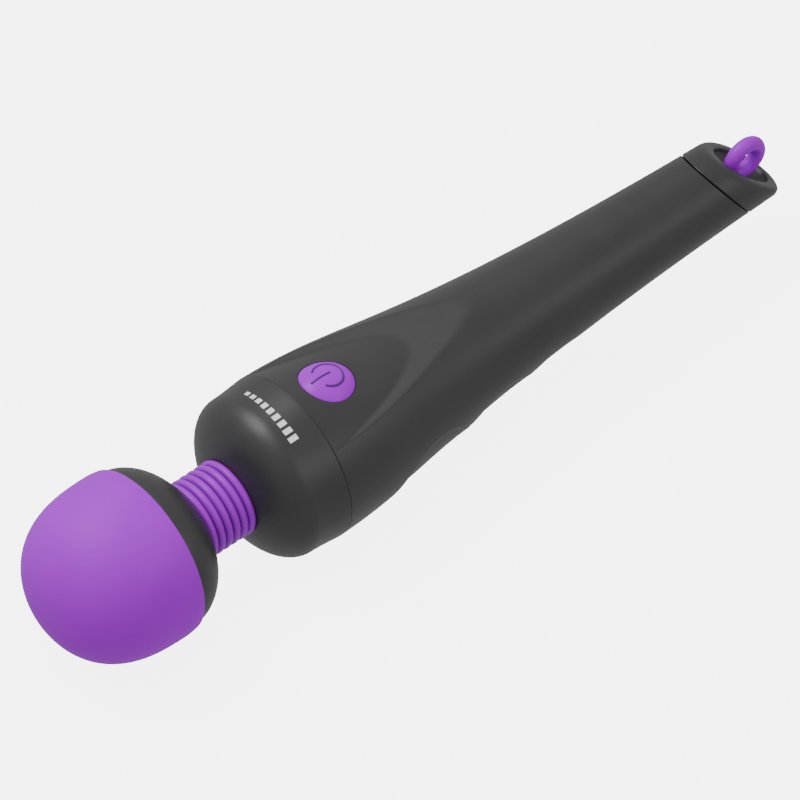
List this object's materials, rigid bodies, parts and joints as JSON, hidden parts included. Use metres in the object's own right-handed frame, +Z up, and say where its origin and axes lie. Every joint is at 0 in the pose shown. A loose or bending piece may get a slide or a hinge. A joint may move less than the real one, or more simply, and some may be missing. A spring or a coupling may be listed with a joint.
{
  "type": "handheld wand massager",
  "caption": "Battery wand massager: round silicone head on a ribbed flexible neck, tapered handle with a sloped thumb panel and button, pull-off end cap with a hanging ring.",
  "frame": {"origin": "bottom centre of the bounding box, on the plane that the head rests on", "axes": "+X from the head to the end cap along the body's axis, +Z up, out of the button side"},
  "size_m": [0.2062, 0.041, 0.041],
  "materials": {
    "purple_silicone": "satin",
    "purple_plastic": "satin",
    "black_plastic": "satin",
    "white_nylon": "matte",
    "steel": "satin",
    "aluminium": "satin",
    "cell_jacket": "gloss",
    "brass": "satin",
    "copper": "satin",
    "magnet": "matte",
    "board_laminate": "satin",
    "red_insulation": "satin",
    "black_insulation": "satin"
  },
  "bodies": {
    "handle": {"nose_shell": "black_plastic", "neck_rear_ferrule": "white_nylon", "lead_connector": "white_nylon", "board_lead_red": "red_insulation", "board_lead_black": "black_insulation", "handle_shell": "black_plastic", "tact_switch": "steel", "circuit_board": "board_laminate", "board_screw_1": "steel", "board_screw_2": "steel", "controller_chip": "black_plastic", "capacitor": "aluminium", "battery_tube": "white_nylon", "contact_carrier": "white_nylon", "front_contact": "brass", "return_strip": "brass", "cell_front": "cell_jacket", "cell_rear": "cell_jacket"},
    "neck_mid": {"neck_bellows": "purple_silicone", "neck_spring": "steel", "motor_lead_red": "red_insulation", "motor_lead_black": "black_insulation"},
    "head": {"head_cover": "purple_silicone", "head_dome": "black_plastic", "head_base": "black_plastic", "motor_cradle": "white_nylon", "cradle_screw_1": "steel", "cradle_screw_2": "steel", "motor_can": "steel", "motor_end_cap": "white_nylon", "motor_magnet_1": "magnet", "motor_magnet_2": "magnet", "motor_bush": "brass", "neck_front_ferrule": "white_nylon"},
    "rotor": {"motor_armature": "copper", "motor_shaft": "steel", "eccentric_weight": "steel"},
    "button": {"power_button": "purple_plastic", "switch_plunger": "white_nylon"},
    "cap": {"end_cap": "black_plastic", "cap_seal": "black_insulation", "tail_contact": "brass", "tail_spring": "steel", "hanging_loop": "purple_plastic"}
  },
  "joints": [
    {"name": "neck_pitch", "type": "hinge", "parent": "handle", "child": "neck_mid", "pos_m": [-0.0539, 0, 0.0205], "axis": [0, 1, 0], "range_deg": [-12, 12], "stiffness_Nm_per_rad": 2, "deforming": ["neck_bellows", "neck_spring", "motor_lead_red", "motor_lead_black"]},
    {"name": "neck_yaw", "type": "hinge", "parent": "neck_mid", "child": "head", "pos_m": [-0.0602, 0, 0.0205], "axis": [0, 0, 1], "range_deg": [-12, 12], "stiffness_Nm_per_rad": 2},
    {"name": "motor_spin", "type": "hinge", "parent": "head", "child": "rotor", "pos_m": [-0.0831, 0, 0.0205], "axis": [1, 0, 0], "continuous": true},
    {"name": "button_press", "type": "slide", "parent": "handle", "child": "button", "axis": [-0.1874, 0, -0.9823], "range_m": [0, 0.0007], "stiffness_N_per_m": 1200},
    {"name": "cap_pull", "type": "slide", "parent": "handle", "child": "cap", "axis": [1, 0, 0], "range_m": [0, 0.025]}
  ]
}
